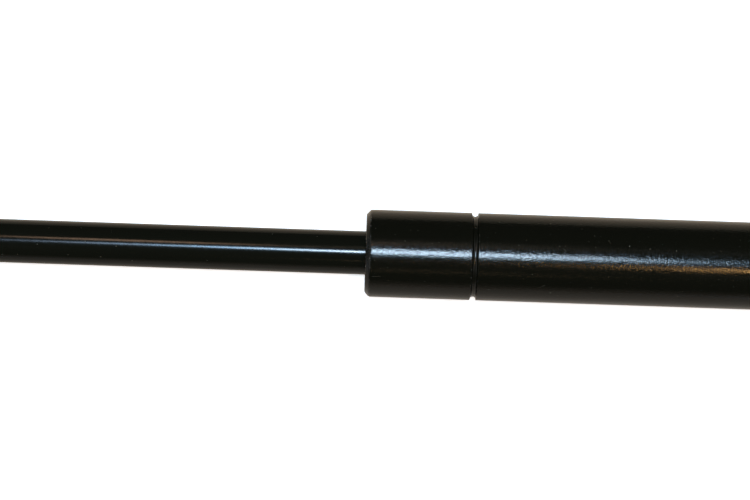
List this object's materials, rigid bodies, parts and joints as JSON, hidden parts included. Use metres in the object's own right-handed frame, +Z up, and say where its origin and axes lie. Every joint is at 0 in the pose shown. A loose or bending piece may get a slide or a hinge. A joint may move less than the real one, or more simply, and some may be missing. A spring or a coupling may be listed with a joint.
{
  "type": "gas strut",
  "caption": "Gas strut with a black tube and rod, its guide, seals and piston inside, and a ball joint with a safety clip and a threaded stud at each end.",
  "frame": {"origin": "centre of the bracket face of the tube-end ball stud, where the strut is bolted to the furniture", "axes": "X along the strut, with the tube toward +X and the rod toward -X; +Y the way both studs point; +Z up"},
  "size_m": [0.5899, 0.0505, 0.028],
  "materials": {
    "tube_paint": "semi-gloss black paint with a faint orange peel",
    "nitrided_rod": "smooth black nitrided steel, fine lengthwise polish",
    "zinc_plate": "bright zinc-plated turned steel",
    "spring_wire": "zinc-plated spring wire",
    "plug_steel": "turned steel, lightly oiled",
    "brass": "turned brass",
    "bearing_bronze": "bronze bearing sleeve with a grey sliding layer",
    "seal_rubber": "black nitrile rubber",
    "piston_polymer": "natural acetal",
    "ring_polymer": "filled bearing polymer",
    "washer_steel": "stamped steel, oiled"
  },
  "bodies": {
    "tube": {"pressure_tube": "tube_paint", "end_plug": "plug_steel", "end_plug_seal": "seal_rubber", "guide_bush": "brass", "guide_liner": "bearing_bronze", "wiper_ring": "seal_rubber", "grease_sleeve": "piston_polymer", "seal_backup_ring": "ring_polymer", "rod_seal": "seal_rubber", "groove_washer": "washer_steel", "tube_end_socket": "zinc_plate"},
    "piston_ring": {"piston_ring": "ring_polymer"},
    "rod": {"piston_rod": "nitrided_rod", "piston_front_washer": "washer_steel", "piston_body": "piston_polymer", "throttle_disc": "washer_steel", "piston_rear_washer": "washer_steel", "rod_end_socket": "zinc_plate"},
    "rod_end_stud": {"rod_end_ball_stud": "zinc_plate"},
    "rod_end_clip": {"rod_end_safety_clip": "spring_wire"},
    "tube_end_stud": {"tube_end_ball_stud": "zinc_plate"},
    "tube_end_clip": {"tube_end_safety_clip": "spring_wire"}
  },
  "joints": [
    {"name": "rod_slide", "type": "slide", "parent": "tube", "child": "piston_ring", "axis": [1, 0, 0], "range_m": [0, 0.2], "stiffness_N_per_m": 840, "springref_m": -0.476},
    {"name": "rod_spin", "type": "hinge", "parent": "piston_ring", "child": "rod", "pos_m": [-0.262, -0.0165, 0], "axis": [1, 0, 0], "continuous": true},
    {"name": "rod_end_swivel", "type": "hinge", "parent": "rod", "child": "rod_end_stud", "pos_m": [-0.55249, -0.0165, 0], "axis": [0, 1, 0], "continuous": true},
    {"name": "rod_end_clip_pull", "type": "slide", "parent": "rod", "child": "rod_end_clip", "axis": [-1, 0, 0], "range_m": [0, 0.013]},
    {"name": "tube_end_swivel", "type": "hinge", "parent": "tube", "child": "tube_end_stud", "pos_m": [0, -0.0165, 0], "axis": [0, 1, 0], "continuous": true},
    {"name": "tube_end_clip_pull", "type": "slide", "parent": "tube", "child": "tube_end_clip", "axis": [1, 0, 0], "range_m": [0, 0.013]}
  ]
}
